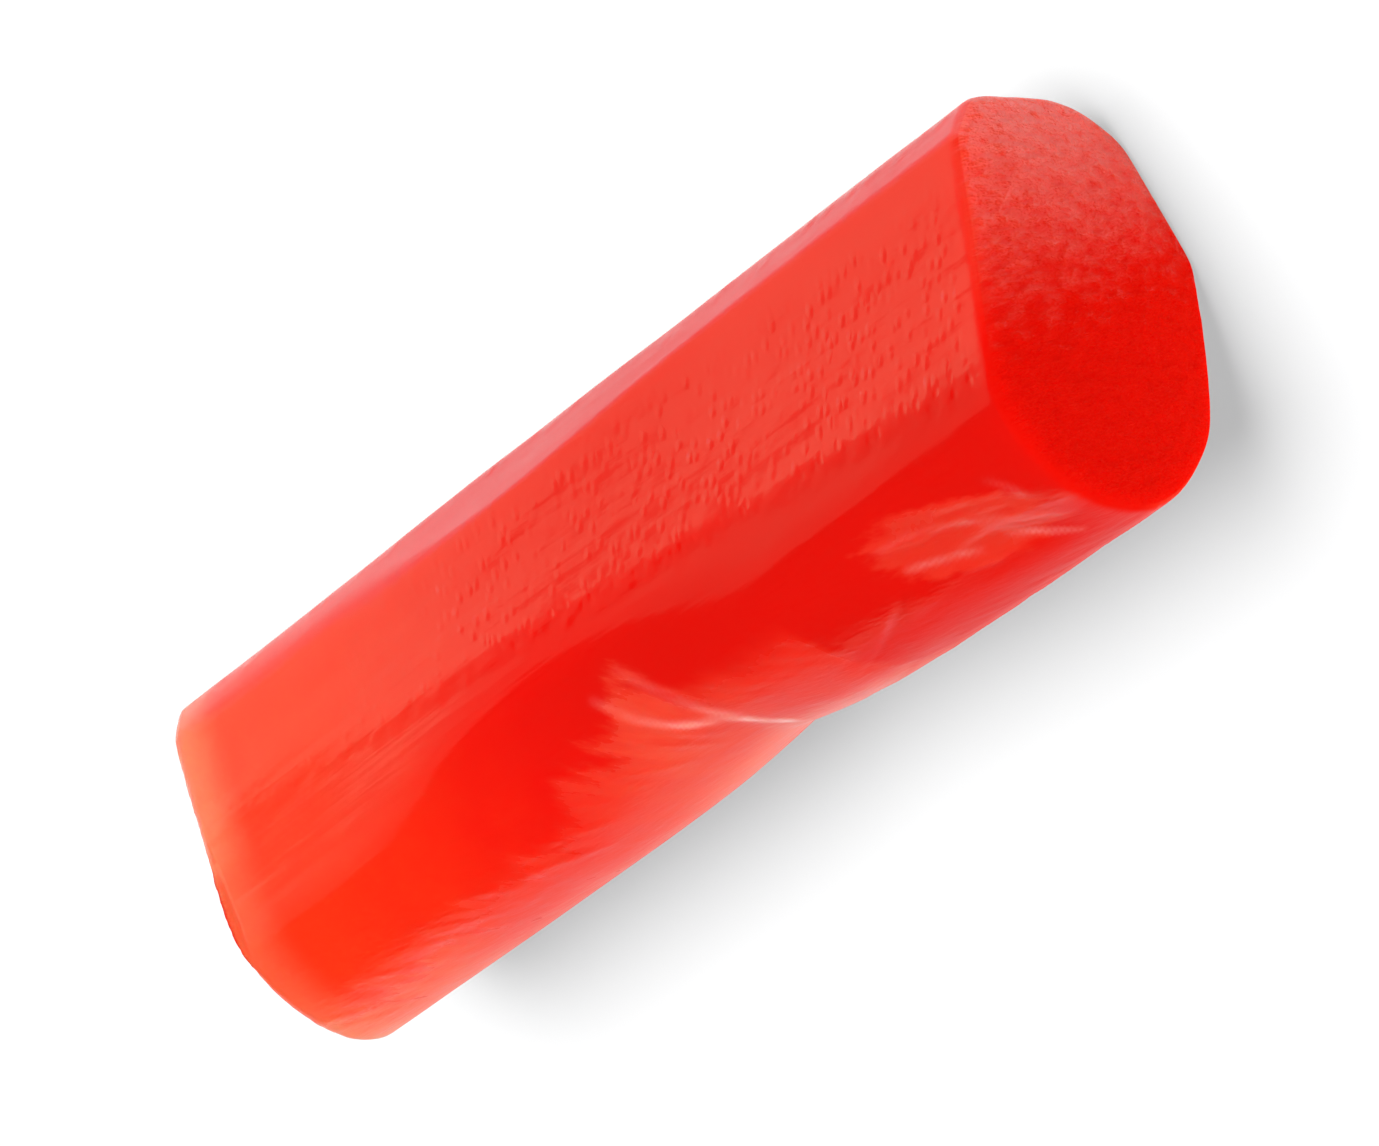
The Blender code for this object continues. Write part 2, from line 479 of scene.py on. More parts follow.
# %% [markdown]
# ## What the roller left
# The roller pressed the broad side and let go along a line that climbs slowly around the rope. Beyond that
# pit line the skin falls away a little, with a shallow groove first. The roller also left an orange peel of
# low swells, and the nozzle left faint lines along the whole rope. All of it is noise on the chart, except
# that noise over the whole skin is read around a cylinder, so that it has no seam where the degrees start.

# %% Heights from nozzle and roller
PIT_LINE = 73.5                 # degrees around the rope at its middle
PIT_LINE_CLIMB = 0.95           # degrees more for each millimetre
FOLD_SLOPE = 0.10               # how steeply the skin falls beyond the pit line
MM_PER_DEGREE_ON_BROAD_SIDE = 0.087     # less than elsewhere, because it lies nearer to the middle
NOISE_RADIUS = 7.2              # of the cylinder around which the noise is read
LUMP_HEIGHT = 0.12
NOZZLE_LINE_HEIGHT = 0.022
SWELL_HEIGHT = 0.03
GROOVE_DEPTHS = 0.03, 0.09      # at the left end, and from the middle on


def beyond_pit_line(along, around):
    """Return how far a place lies beyond the pit line, in millimetres of the broad side's skin."""
    return (around - PIT_LINE - along * PIT_LINE_CLIMB) * MM_PER_DEGREE_ON_BROAD_SIDE


def rolled_relief(graph, along, around, seed):
    """Return the skin's height in millimetres, from the nozzle and the roller."""
    turn = graph.math("RADIANS", around)

    def around_rope(stretch, size, detail, number):
        """Return seamless noise on the rope, stretched along it."""
        y, z = graph.math("COSINE", turn) * NOISE_RADIUS, graph.math("SINE", turn) * NOISE_RADIUS
        return graph.noise(graph.vector(along / stretch, y, z), size, detail, seed=seed + number)

    lumps = around_rope(2.2, 5.0, 2.0, 0.0) * LUMP_HEIGHT
    nozzle = around_rope(20.0, 1.1, 3.0, 1.0) * NOZZLE_LINE_HEIGHT
    wobble = around_rope(1.0, 0.8, 2.0, 7.0)
    swells = around_rope(0.7, 1.6, 1.0, 3.0) * SWELL_HEIGHT
    beyond = beyond_pit_line(along, around)
    to_shoulder = graph.ramp(around, 122.0, 92.0)
    fold_softness = graph.ramp(along, -2.0, -14.0, 0.3, 2.4)
    fall = graph.math("SMOOTH_MAX", beyond, 0.0, fold_softness) * FOLD_SLOPE
    groove_depth = graph.ramp(along, -17.0, -5.0, *GROOVE_DEPTHS)
    groove = graph.ramp(beyond + wobble * 0.6, -0.1, 0.7) * groove_depth
    on_broad_side = graph.ramp(around, 12.0, 24.0) * graph.ramp(beyond, 0.3, -0.4)
    denser = graph.ramp(along, -18.0, 8.0, 0.25, 1.0)
    return lumps + nozzle - (fall + groove) * to_shoulder + swells * on_broad_side * denser


print("pit line at", PIT_LINE, "degrees, climbing", round(PIT_LINE_CLIMB * LENGTH), "degrees from end to end")

# %% [markdown]
# ## The scuffed side
# The lower -Y side rubbed against its neighbours in the bag and lost its shine. The scuffs begin at a line
# that jumps up at the pinch and drops to the right of it, and to the left their edge is frayed into slanting
# fingers. The same mask serves twice: here it smears the shape, and later it makes the finish duller and
# rougher, and paler, partly from wear and partly from painted sheen. The leaf's outline works the same way.

# %% Where the skin is scuffed
# Where the scuffs begin, in degrees around, and by how many degrees that shifts at certain places.
SCUFF_EDGE = 136.0
LOWER_AT_LEFT = 9.0
HIGHER_TOWARD_PINCH = 13.0
PEAK_ON_RIDGES = 20.0
LOWER_AT_RIGHT = 44.0
FRINGE = 20.0                   # how far the fingers reach over the edge
LEAF_OUTLINE = (15.7, 129.0, 4.1, 1.8, 21.7)    # as the dents' ovals
LEAF_SCUFF = 0.45
SMEAR_HEIGHT = 0.12
RIPPLE_HEIGHT = 0.24


def scuff_edge(graph, along, around):
    """Return how far around a place lies beyond the scuffed region's smooth edge, in degrees."""
    edge = SCUFF_EDGE + graph.ramp(along, -8.0, -17.0) * LOWER_AT_LEFT
    edge = edge - graph.ramp(along, -6.5, -4.6) * HIGHER_TOWARD_PINCH
    edge = edge - graph.math("EXPONENT", -(((along + 0.3) / 1.3) ** 2.0)) * PEAK_ON_RIDGES
    return around - edge - graph.ramp(along, 7.2, 9.8) * LOWER_AT_RIGHT


def leaf_share(graph, along, around):
    """Return 1 in the middle of the leaf-shaped dent, and 0 or less outside its ragged outline."""
    ragged = graph.noise(on_chart(graph, along, around, 18.0, 3.0), 0.6, 3.0, 0.6, seed=33.0)
    return 1.0 - oval_reach(along, around, *LEAF_OUTLINE) + ragged


def scuffed(graph, along, around):
    """Return 1 where the -Y side was scuffed and 0 elsewhere, with a frayed edge between them."""
    fingers = graph.noise(on_chart(graph, along, around, 46.0, 4.0), 0.7, 4.0, 0.62, seed=30.0)
    fringe = fingers * graph.ramp(along, 4.5, -1.0, 0.08, 1.0) * FRINGE
    low = graph.ramp(scuff_edge(graph, along, around) + fringe, -7.0, 8.0)
    low = low * graph.ramp(fingers, -0.45, 0.35, 0.6, 1.0) * graph.ramp(around, 235.0, 205.0)
    leaf = graph.ramp(leaf_share(graph, along, around), -0.1, 0.4)
    return graph.larger(low, leaf * LEAF_SCUFF)


def smeared_relief(graph, along, around, seed):
    """Return the height of the smears near the scuffs' edge and of the ripples in the leaf."""
    near_edge = graph.hill(scuff_edge(graph, along, around), 2.0, 17.0)
    smears = graph.noise(on_chart(graph, along, around, 30.0, 4.0), 0.6, 2.0, 0.55, seed=seed + 5.0)
    in_leaf = graph.ramp(leaf_share(graph, along, around), -0.4, 0.6)
    ripples = graph.noise(on_chart(graph, along, around, 16.0, 5.0), 0.7, seed=seed + 6.0)
    return smears * SMEAR_HEIGHT * near_edge + ripples * RIPPLE_HEIGHT * in_leaf


print("scuffs begin at", SCUFF_EDGE, "degrees, and the leaf is", 2 * LEAF_OUTLINE[2], "mm long")

# %% [markdown]
# ## The cut
# A cut through soft licorice isn't smooth. The blade drags the inside along and leaves a grain of short
# marks down the face, over swells a few millimetres wide. The inside gave way sideways as the blade went
# down, so the marks lean. Noise gets that lean when it is read in two directions that aren't square.

# %% Heights on the cut
ALONG_MARKS = (0.76, 0.65)      # in Y and Z
ACROSS_MARKS = (-0.90, 0.43)
GRAIN_HEIGHT = 0.07
CUT_SWELL_HEIGHT = 0.14


def on_cut(graph, y, z, stretch=1.0):
    """Return a place on a cut. Noise lumps there are stretched along the blade's marks."""
    down = y * ALONG_MARKS[0] + z * ALONG_MARKS[1]
    return graph.vector(down / stretch, y * ACROSS_MARKS[0] + z * ACROSS_MARKS[1])


def cut_relief(graph, y, z, seed):
    """Return the cut's height in millimetres."""
    grain = graph.noise(on_cut(graph, y, z, 1.3), 0.6, 2.0, 0.6, seed=seed + 20.0)
    swell = graph.noise(on_cut(graph, y, z), 3.5, seed=seed + 21.0)
    return grain * GRAIN_HEIGHT + swell * CUT_SWELL_HEIGHT


blade_slant = math.degrees(math.atan2(ACROSS_MARKS[1], -ACROSS_MARKS[0]))
print("the marks lean", round(blade_slant), "degrees from upright")

# %% [markdown]
# ## The rope's tree
# The tree starts from the box, keeps the chart as attributes while the points still lie on it, bends the box
# into the bite, and moves each point along its normal by the sum of the heights. Its sizes are named inputs,
# so a longer or slimmer bite needs no new code. It works in millimetres and shrinks to metres at the end,
# because noise of a few hundredths is easier to judge than noise of a few hundred-thousandths.

# %% Inputs of the tree
ROPE_SIZES = {
    "Length": LENGTH,
    "Size at left": SIZE_AT_LEFT,
    "Size at right": SIZE_AT_RIGHT,
    "Middle height": MIDDLE_HEIGHT,
    "Corner hardness": CORNER_HARDNESS,
    "Rim radius": RIM_RADIUS,
    "Dome of left cut": LEFT_CUT["dome"],
    "Dome of right cut": RIGHT_CUT["dome"],
    "Crease depth": 0.12,
    "Seed": 4.0,
}
POINTS_ALONG = 262
POINTS_ON_SIDE = 76
CALM_OVER_BASE = 0.05, 0.5      # heights between which the relief fades in, so that the base stays flat


def add_inputs(tree, numbers):
    """Give a tree its output, its named inputs and a material, and return each input's identifier."""
    interface = tree.interface
    interface.new_socket(name="Geometry", in_out="OUTPUT", socket_type="NodeSocketGeometry")
    identifiers = {}
    for name in numbers:
        socket = interface.new_socket(name=name, in_out="INPUT", socket_type="NodeSocketFloat")
        identifiers[name] = socket.identifier
    socket = interface.new_socket(name="Material", in_out="INPUT", socket_type="NodeSocketMaterial")
    identifiers["Material"] = socket.identifier
    return identifiers


def store(graph, mesh, name, value):
    """Keep a value on every point of a mesh under a name."""
    return graph.node(
        "GeometryNodeStoreNamedAttribute",
        {"data_type": "FLOAT", "domain": "POINT"},
        {"Geometry": mesh, "Name": name, "Value": value},
    )


print("inputs:", ", ".join(ROPE_SIZES))


# %% Bend the box and raise the relief
def bent_box(graph, sizes):
    """Return the box bent into a smooth bite, with its chart stored on its points."""
    mesh = graph.node(
        "GeometryNodeMeshCube",
        None,
        {
            "Size": (2.0, 2.0, 2.0),
            "Vertices X": POINTS_ALONG,
            "Vertices Y": POINTS_ON_SIDE,
            "Vertices Z": POINTS_ON_SIDE,
        },
    )
    point = read_box_point(graph)
    place, along = place_on_rope(graph, sizes, point)
    around = graph.math("DEGREES", graph.math("ARCTAN2", point["toward_z"], point["toward_y"]))
    around = around + graph.math("LESS_THAN", around, -90.0) * 360.0
    mesh = store(graph, mesh, "along", along)
    mesh = store(graph, mesh, "around", around)
    mesh = store(graph, mesh, "cut", point["cut"])
    mesh = store(graph, mesh, "rim", point["rim_turn"] / (math.pi / 2))
    return graph.node("GeometryNodeSetPosition", None, {"Geometry": mesh, "Position": place})


def raise_relief(graph, sizes, mesh):
    """Move every point along its normal by the relief's height, and store the streaks for painted glints."""
    along, around, cut = (
        graph.node("GeometryNodeInputNamedAttribute", {"data_type": "FLOAT"}, {"Name": name}, "Attribute")
        for name in ("along", "around", "cut")
    )
    ridges = nearness(graph, along, around, PINCH_RIDGES, LINE_WIDTHS["ridges"])
    combed = nearness(graph, along, around, COMBED_LINES, LINE_WIDTHS["combed"])
    creases = nearness(graph, along, around, LEAF_CREASES, LINE_WIDTHS["creases"])
    streaks = nearness(graph, along, around, PINCH_STREAKS, LINE_WIDTHS["streaks"])
    leaf_streaks = nearness(graph, along, around, LEAF_STREAKS, LINE_WIDTHS["leaf streaks"])
    streaks = graph.larger(streaks, leaf_streaks * LEAF_STREAK_STRENGTH)
    skin = rolled_relief(graph, along, around, sizes["Seed"])
    skin = skin + smeared_relief(graph, along, around, sizes["Seed"])
    raised = ridges * LINE_SHARES["ridges"]
    sunk_by_comb, sunk_in_leaf = combed * LINE_SHARES["combed"], creases * LINE_SHARES["creases"]
    lines = raised - sunk_by_comb - sunk_in_leaf + streaks * LINE_SHARES["streaks"]
    skin = skin + sizes["Crease depth"] * lines
    skin = skin - pinch_depth(graph, along, around) - dent_depth(graph, along, around)

    split = graph.node("ShaderNodeSeparateXYZ", None, {"Vector": graph.node("GeometryNodeInputPosition")})
    y, z = split.other("Y"), split.other("Z")
    height = skin * (1.0 - cut) + cut_relief(graph, y, z, sizes["Seed"]) * cut
    height = height * graph.ramp(z, *CALM_OVER_BASE)
    offset = graph.node(
        "ShaderNodeVectorMath",
        {"operation": "SCALE"},
        {"Vector": graph.node("GeometryNodeInputNormal"), "Scale": height},
    )
    moved = graph.node("GeometryNodeSetPosition", None, {"Geometry": mesh, "Offset": offset})
    # The streaks' mask is kept only to paint glints into the colour.
    return store(graph, moved, "streak", streaks * (1.0 - cut))


def rope_tree():
    """Return the tree that makes the whole bite, and its inputs' identifiers."""
    tree = bpy.data.node_groups.new("rope_cut_to_a_bite", "GeometryNodeTree")
    identifiers = add_inputs(tree, ROPE_SIZES)
    graph = Graph(tree)
    entry = graph.node("NodeGroupInput")
    sizes = {name: entry.other(name) for name in ROPE_SIZES}
    raised = raise_relief(graph, sizes, bent_box(graph, sizes))
    scaled = graph.node("GeometryNodeTransform", None, {"Geometry": raised, "Scale": (METRES_PER_MM,) * 3})
    smooth = graph.node("GeometryNodeSetShadeSmooth", None, {"Geometry": scaled, "Shade Smooth": True})
    realized = graph.node("GeometryNodeRealizeInstances", None, {"Geometry": smooth})
    finished = graph.node(
        "GeometryNodeSetMaterial", None, {"Geometry": realized, "Material": entry.other("Material")}
    )
    graph.node("NodeGroupOutput", None, {"Geometry": finished})
    return tree, identifiers


bite_tree, input_identifiers = rope_tree()
print("the rope's tree has", len(bite_tree.nodes), "nodes")

# %% [markdown]
# ## The colour
# Licorice is translucent. Light goes a little way in, and red comes back out, so the same sweet looks orange
# where it is thin or lit from behind and deep red where it is thick. Subsurface scattering does the blurring,
# with a radius of a few millimetres in red and almost none in green and blue. Beyond that, light and shade
# are painted into the colour along the chart: a painted orange glow at the left end and low on the -Y side,
# painted shade on the right end and the torn part of the cuts, painted sheen that makes marks paler, painted
# glints on the streaks and a painted highlight along the lower outline. Scuffs scatter light before it gets
# in, so they are paler too: their paleness is partly wear and partly painted sheen.

# %% Colours
DEEP_RED = (0.785, 0.0060, 0.0025, 1.0)
# painted shade: the right end and the torn part of the cuts are darkened toward it
SHADE_RED = (0.69, 0.0050, 0.0020, 1.0)
# painted glow of light through the left end and the low -Y side
GLOW_ORANGE = (0.89, 0.036, 0.006, 1.0)
# the scuffs' wear, and painted sheen and glow on scuffs, leaf, rims and the smeared cut
SCUFF_AND_SHEEN_PALE = (1.0, 0.46, 0.22, 1.0)
# painted glints on the streaks and a painted highlight along the lower outline
GLINT_PALE = (1.0, 0.62, 0.55, 1.0)

# How far toward a pale colour each place goes: painted sheen on the scuffs, which are partly real wear, on
# the leaf, the smeared cut and the upper rim, and a painted highlight along the lower outline.
PALING = {
    "wear and sheen on any scuff": 0.04,
    "wear and sheen at the pinch": 0.10,
    "wear and sheen at the left": 0.14,
    "leaf": 0.035,
    "sheen on smeared cut": 0.12,
    "sheen on upper rim": 0.06,
    "highlight band": 0.24,
}


def blend_colours(graph, share, first, second):
    """Return a colour that goes from the first to the second as the share goes from 0 to 1."""
    return graph.node("ShaderNodeMix", {"data_type": "RGBA"}, {"Factor": share, 6: first, 7: second}, 2)


def licorice_colour(graph, spot):
    """Return the base colour, deep red, with light and shade painted into it.

    A painted orange glow lies at the left end, low on the -Y side and on the left rim, and painted shade
    on the right end and the torn part of the cuts. The scuffs are paler, partly from real wear and partly
    from painted sheen. Painted sheen also pales the leaf, the upper rim of the right cut and the part of
    the cut that the blade smeared shut. The streaks carry painted glints, and a painted highlight runs
    along the lower outline on the -Y side.
    """
    along, around, on_skin = spot["along"], spot["around"], spot["on_skin"]
    blotches = graph.noise(spot["place"], 3.0, 3.0, 0.6, seed=7.0)
    # Painted shade: darker toward the right end, less so on the broad side and on scuffs, and on the torn
    # cut.
    painted_shade = graph.ramp(along, -9.0, 4.0) * graph.ramp(around, 76.0, 98.0, 0.35, 1.0)
    painted_shade = painted_shade * on_skin * (1.0 - spot["scuff"] * 0.7) + (1.0 - on_skin) * (1.0 - spot["shut"])
    colour = blend_colours(graph, painted_shade, DEEP_RED, SHADE_RED)
    # Painted glow of light through the left end, and low on the -Y side, fading out between 2 and 12 mm.
    glowing = graph.ramp(along + blotches * 3.6, -4.0, -21.0)
    low_side_glow = graph.ramp(around, 140.0, 178.0) * graph.ramp(around, 250.0, 200.0)
    glowing = graph.larger(glowing, low_side_glow * graph.ramp(along, 12.0, 2.0) * 0.8)
    colour = blend_colours(graph, glowing * graph.ramp(spot["cut"], 1.0, 0.6), colour, GLOW_ORANGE)

    # Pale scuffs: partly their wear, partly painted sheen.
    paling = PALING["wear and sheen on any scuff"] + graph.hill(along, -0.5, 6.0) * PALING["wear and sheen at the pinch"]
    paling = paling + graph.ramp(along, -11.0, -16.0) * PALING["wear and sheen at the left"]
    # Painted glow on the left rim.
    painted_rim_glow = graph.ramp(along, -18.2, -20.6) * graph.ramp(around, 62.0, 84.0, 0.34, 0.17)
    # Painted sheen on the leaf and on the part of the cut smeared shut.
    leaf = graph.ramp(leaf_share(graph, along, around), -0.1, 0.5)
    pale = painted_rim_glow * graph.ramp(spot["cut"], 1.0, 0.6) + leaf * on_skin * PALING["leaf"]
    pale = pale + spot["scuff"] * paling + spot["shut"] * (1.0 - on_skin) * PALING["sheen on smeared cut"]
    # Painted sheen on the +Y part of the right cut's rim.
    painted_rim_sheen = graph.hill(spot["rim"], 0.4, 0.4) * graph.ramp(along, 15.0, 19.0)
    pale = pale + painted_rim_sheen * graph.ramp(spot["y"], 0.5, 4.0) * PALING["sheen on upper rim"]
    colour = blend_colours(graph, pale, colour, SCUFF_AND_SHEEN_PALE)
    # Painted glints along the streaks, broken by noise.
    broken = graph.noise(on_chart(graph, along, around, 46.0, 3.0), 0.6, seed=31.0)
    streak = spot["streak"] * graph.ramp(broken, -0.25, 0.3, 0.45, 1.0)
    streak = streak * graph.ramp(around, 114.0, 150.0, 0.12, 0.85)
    # Painted highlight along the lower outline on the -Y side.
    outline_highlight = graph.hill(around - broken * 3.0, 167.0, 18.0) * graph.hill(along, 4.5, 9.0)
    pale = graph.larger(streak, outline_highlight * on_skin * PALING["highlight band"])
    return blend_colours(graph, pale, colour, GLINT_PALE)


print("deep red", DEEP_RED[:3], "to thin orange", GLOW_ORANGE[:3])

# %% [markdown]
# ## The finest relief
# Relief finer than the mesh's squares of about 0.16 mm is left to a Bump node: the orange peel's separate
# bumps on the broad side, the little pits along the line where the roller let go, the belt's pebbles on the
# hidden lower sides, hair-fine nozzle lines, and the grain of the cuts. Heights are in millimetres here too.
# The softboxes below are wide, so in them a bump shows only its slopes around the rope. The peel's bumps
# are therefore drawn longer around the rope than along it, and then look round.

# %% Bumps on the skin and on the cuts
BUMP_HEIGHTS = {
    "peel": 0.026, "pits": 0.03, "pebbles": 0.04, "smears": 0.015, "nozzle": 0.006, "grease": 0.006,
    "grain": 0.36, "crumbs": 0.10,
}
# Spacing in millimetres, and stretch along the rope or, on a cut, along the blade's marks.
PEEL_SPACING, PEEL_STRETCH = 1.15, 0.42
PIT_SPACING, PIT_STRETCH = 0.95, 0.5
PEBBLE_SPACING = 1.1
CRUMB_SPACING, CRUMB_STRETCH = 0.55, 1.5


def skin_bump(graph, spot):
    """Return the skin's bumped normal."""
    along, around, place = spot["along"], spot["around"], spot["place"]
    beyond = beyond_pit_line(along, around)
    patches = graph.ramp(graph.noise(place, 3.0, seed=6.0), -0.45, 0.25, 0.15, 1.0)
    rolled = graph.ramp(around, 10.0, 22.0) * graph.ramp(beyond, 0.3, -0.3)
    rolled = rolled * graph.ramp(along, -19.0, 8.0, 0.3, 1.0) * graph.ramp(along, 20.3, 19.2)
    peel = graph.bumps(on_chart(graph, along, around, 0.0, PEEL_STRETCH), PEEL_SPACING, share=0.9)
    peel = peel * patches * rolled
    row = graph.hill(beyond, 0.0, 0.55) * graph.ramp(graph.noise(place, 1.2, 1.0, seed=3.0), -0.4, 0.2)
    pits = graph.bumps(on_chart(graph, along, around, 0.0, PIT_STRETCH), PIT_SPACING, share=0.9)
    pits = pits * row * graph.ramp(along, -10.0, 2.0)
    below = graph.ramp(around, 4.0, -12.0) + graph.ramp(around, 205.0, 225.0)
    pebbles = graph.bumps(on_chart(graph, along, around), PEBBLE_SPACING, share=0.8) * below
    smears = graph.noise(on_chart(graph, along, around, 17.0, 4.0), 0.30, 3.0, 0.6, seed=2.0)
    smeared = graph.ramp(around, 104.0, 128.0) * graph.ramp(around, 240.0, 210.0)
    nozzle = graph.noise(on_chart(graph, along, around, 0.0, 25.0), 0.35, 2.0, 0.6, seed=5.0)
    grease = graph.noise(place, 0.6, seed=8.0)
    height = peel * BUMP_HEIGHTS["peel"] - pits * BUMP_HEIGHTS["pits"] + pebbles * BUMP_HEIGHTS["pebbles"]
    height = height + smears * smeared * BUMP_HEIGHTS["smears"]
    height = height + nozzle * BUMP_HEIGHTS["nozzle"] + grease * BUMP_HEIGHTS["grease"]
    return graph.node("ShaderNodeBump", None, {"Height": height, "Distance": METRES_PER_MM}, "Normal")


def cut_bump(graph, spot):
    """Return the cuts' bumped normal."""
    crumbs = graph.bumps(on_cut(graph, spot["y"], spot["z"], CRUMB_STRETCH), CRUMB_SPACING, share=0.7)
    height = spot["grain"] * BUMP_HEIGHTS["grain"] + crumbs * BUMP_HEIGHTS["crumbs"]
    height = height * graph.ramp(spot["rim"], 0.4, 1.0, 0.15, 1.0)
    return graph.node("ShaderNodeBump", None, {"Height": height, "Distance": METRES_PER_MM}, "Normal")


print("bumps up to", max(PEEL_SPACING, PIT_SPACING, PEBBLE_SPACING), "mm apart")

# %% [markdown]
# ## Glossy and dull
# One shader can't be both wet and dry, and its specular level is one number for the whole surface. So there
# are four shaders of the same colour, and masks choose between them: glossy skin, dull skin where it is
# scuffed or dusty, a glossy cut where the blade smeared it shut, and a dull cut where it tore. Roughness may
# vary within a shader, and on the skin it does.

# %% The material
SUBSURFACE_RADIUS = (2.5, 0.25, 0.12)   # in millimetres, for red, green and blue
GLOSSY_ROUGHNESS = 0.10, 0.20
SCUFF_ROUGHNESS = 0.24                  # on top of it


def licorice_shader(graph, colour, roughness, specular, normal, index=1.45):
    """Return one finish of the licorice."""
    return graph.node(
        "ShaderNodeBsdfPrincipled",
        None,
        {
            "Base Color": colour,
            "Roughness": roughness,
            "IOR": index,
            "Specular IOR Level": specular,
            "Subsurface Weight": 1.0,
            "Subsurface Radius": SUBSURFACE_RADIUS,
            "Subsurface Scale": METRES_PER_MM,
            "Normal": normal,
        },
    )


def read_spot(graph):
    """Return what the finish needs to know of a place: its chart, its place in millimetres, and masks."""
    spot = {
        name: graph.node("ShaderNodeAttribute", {"attribute_name": name}, None, "Fac")
        for name in ("along", "around", "cut", "rim", "streak")
    }
    coordinates = graph.node("ShaderNodeTexCoord", None, None, "Object")
    spot["place"] = graph.node(
        "ShaderNodeVectorMath", {"operation": "SCALE"}, {"Vector": coordinates, "Scale": 1.0 / METRES_PER_MM}
    )
    split = graph.node("ShaderNodeSeparateXYZ", None, {"Vector": spot["place"]})
    spot["y"], spot["z"] = split.other("Y"), split.other("Z")
    spot["on_skin"] = graph.ramp(spot["cut"], 0.3, 0.0)
    spot["scuff"] = scuffed(graph, spot["along"], spot["around"]) * spot["on_skin"]
    spot["grain"] = graph.noise(on_cut(graph, spot["y"], spot["z"], 1.6), 0.48, 3.0, 0.6, seed=11.0)
    shut = spot["y"] - (spot["z"] - 7.0) * 0.15 + spot["grain"] * 4.5
    spot["shut"] = graph.ramp(shut, -1.5, 8.5)
    return spot


def dull_share(graph, spot):
    """Return how dull the skin is: dusty low on the right, scuffed on the -Y side, dry on the left rim."""
    along, around = spot["along"], spot["around"]
    dusty = graph.ramp(along, 5.5, 8.5) * graph.ramp(around, 136.0, 146.0) * graph.ramp(around, 240.0, 220.0)
    left_rim = graph.ramp(along, -19.2, -20.2) * graph.ramp(around, 84.0, 98.0) * 0.4
    return graph.larger(graph.larger(dusty, left_rim), spot["scuff"] * 0.6)


def mix_shaders(graph, share, first, second):
    """Return a shader that goes from the first to the second as the share goes from 0 to 1."""
    return graph.node("ShaderNodeMixShader", None, {0: share, 1: first, 2: second})


def licorice_material():
    """Return the red licorice."""
    material = bpy.data.materials.new("red_licorice")
    material.use_nodes = True
    material.node_tree.nodes.clear()
    graph = Graph(material.node_tree)
    spot = read_spot(graph)
    colour = licorice_colour(graph, spot)

    greasy = graph.noise(spot["place"], 2.0, 3.0, 0.6, seed=9.0)
    roughness = graph.ramp(greasy, -0.5, 0.6, *GLOSSY_ROUGHNESS) + spot["scuff"] * SCUFF_ROUGHNESS
    normal = skin_bump(graph, spot)
    glossy_skin = licorice_shader(graph, colour, roughness, specular=0.5, normal=normal)
    dull_skin = licorice_shader(graph, colour, roughness=0.45, specular=0.12, normal=normal)
    skin = mix_shaders(graph, dull_share(graph, spot), glossy_skin, dull_skin)

    normal = cut_bump(graph, spot)
    glossy_cut = licorice_shader(graph, colour, roughness=0.26, specular=0.7, normal=normal, index=1.5)
    dull_cut = licorice_shader(graph, colour, roughness=0.6, specular=0.0, normal=normal)
    cut = mix_shaders(graph, spot["shut"], dull_cut, glossy_cut)

    rim_end = graph.ramp(spot["along"], -10.0, 10.0, 1.0, 0.4)
    whole = mix_shaders(graph, graph.ramp(spot["rim"], rim_end - 0.4, rim_end), skin, cut)
    graph.node("ShaderNodeOutputMaterial", None, {"Surface": whole})
    return material


red_licorice = licorice_material()
print("the finish has", len(red_licorice.node_tree.nodes), "nodes")

# %% [markdown]
# ## The bite itself
# A Geometry Nodes modifier needs an object to sit on, so an empty mesh carries it. The inputs are set by the
# sockets' identifiers before Blender first evaluates the object. The result is copied out as a plain mesh,
# the carrier goes, and the bite is centred where the solid is. It throws no red light on the floor, which
# keeps its shadow as grey as in the photograph.

# %% Make the bite
def make_bite():
    """Return the bite as one plain mesh, placed in the solid's box."""
    carrier = bpy.data.objects.new("rope_carrier", bpy.data.meshes.new("rope_carrier"))
    bpy.context.scene.collection.objects.link(carrier)
    modifier = carrier.modifiers.new("rope", "NODES")
    modifier.node_group = bite_tree
    for name, value in ROPE_SIZES.items():
        modifier[input_identifiers[name]] = value
    modifier[input_identifiers["Material"]] = red_licorice
    evaluated = carrier.evaluated_get(bpy.context.evaluated_depsgraph_get())
    mesh = bpy.data.meshes.new_from_object(evaluated)
    bpy.data.objects.remove(carrier)
    mesh.name = "red_licorice"
    mesh.materials.clear()
    mesh.materials.append(red_licorice)
    mesh.polygons.foreach_set("material_index", [0] * len(mesh.polygons))
    shift = Vector((0.0, 0.0, 0.0))
    for axis in (0, 1):
        places = [vertex.co[axis] for vertex in mesh.vertices]
        shift[axis] = (node_low[axis] + node_high[axis] - min(places) - max(places)) / 2
    mesh.transform(Matrix.Translation(shift))
    made = bpy.data.objects.new("red_licorice", mesh)
    bpy.context.scene.collection.objects.link(made)
    return made


bite = make_bite()
bite.visible_diffuse = False
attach(bite, "root")
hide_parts(NODE)
print("bite has", sum(len(face.vertices) - 2 for face in bite.data.polygons), "triangles")

# %% [markdown]
# ## The floor
# A plain pale sheet. It matters more than it seems: the sides of the bite that face down mirror it, and the
# light it throws back fills the lower skin.

# %% Floor
FLOOR_HALF_SIZE = 3.0
FLOOR_WHITE = (0.9, 0.9, 0.9, 1.0)


